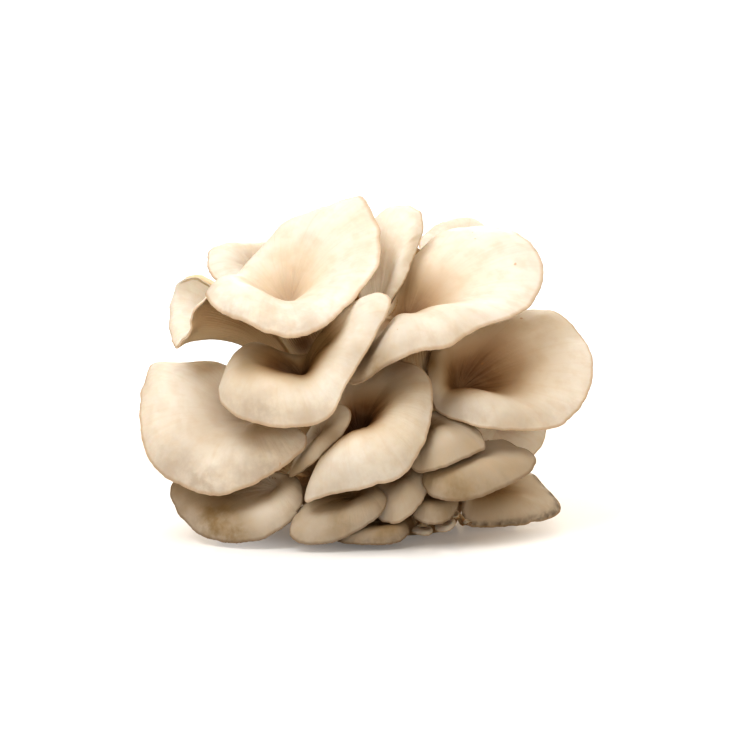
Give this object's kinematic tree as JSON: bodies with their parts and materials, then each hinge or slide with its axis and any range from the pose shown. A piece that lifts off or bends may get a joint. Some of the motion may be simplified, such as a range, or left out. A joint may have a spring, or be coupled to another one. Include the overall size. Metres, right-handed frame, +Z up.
{
  "type": "oyster mushroom cluster",
  "caption": "Cluster of oyster mushrooms as picked: overlapping funnel and fan caps on stems that grow from one fused foot, which stands on its flat cut face.",
  "frame": {"origin": "centre of the flat cut face under the fused foot", "axes": "+Z up, the cut face's inward normal; -Y towards the side that the large caps open to; +X to their right seen from -Y"},
  "size_m": [0.1968, 0.1527, 0.144],
  "materials": {
    "mushroom": "smooth matte cream skin, browner in the hollows, with pale gills below",
    "foot": "matte fibrous flesh"
  },
  "bodies": {
    "root": {"fused_foot": "foot", "top_funnel_mushroom": "mushroom", "back_left_top_mushroom": "mushroom", "left_trumpet_mushroom": "mushroom", "folded_lip_mushroom": "mushroom", "left_fan_mushroom": "mushroom", "low_left_mushroom": "mushroom", "narrow_fold_mushroom": "mushroom", "centre_funnel_mushroom": "mushroom", "top_blade_mushroom": "mushroom", "top_right_mushroom": "mushroom", "right_funnel_mushroom": "mushroom", "back_top_right_mushroom": "mushroom", "mid_right_mushroom": "mushroom", "low_right_mushroom": "mushroom", "back_right_mushroom": "mushroom", "bottom_right_mushroom": "mushroom", "bottom_left_mushroom": "mushroom", "bottom_round_mushroom": "mushroom", "bottom_small_mushroom": "mushroom", "bottom_button_mushroom": "mushroom", "first_tiny_mushroom": "mushroom", "second_tiny_mushroom": "mushroom", "third_tiny_mushroom": "mushroom", "pin_mushroom": "mushroom", "back_high_mushroom": "mushroom", "back_left_mushroom": "mushroom", "back_side_mushroom": "mushroom", "back_low_left_mushroom": "mushroom", "back_low_centre_mushroom": "mushroom", "back_low_right_mushroom": "mushroom"}
  },
  "joints": []
}
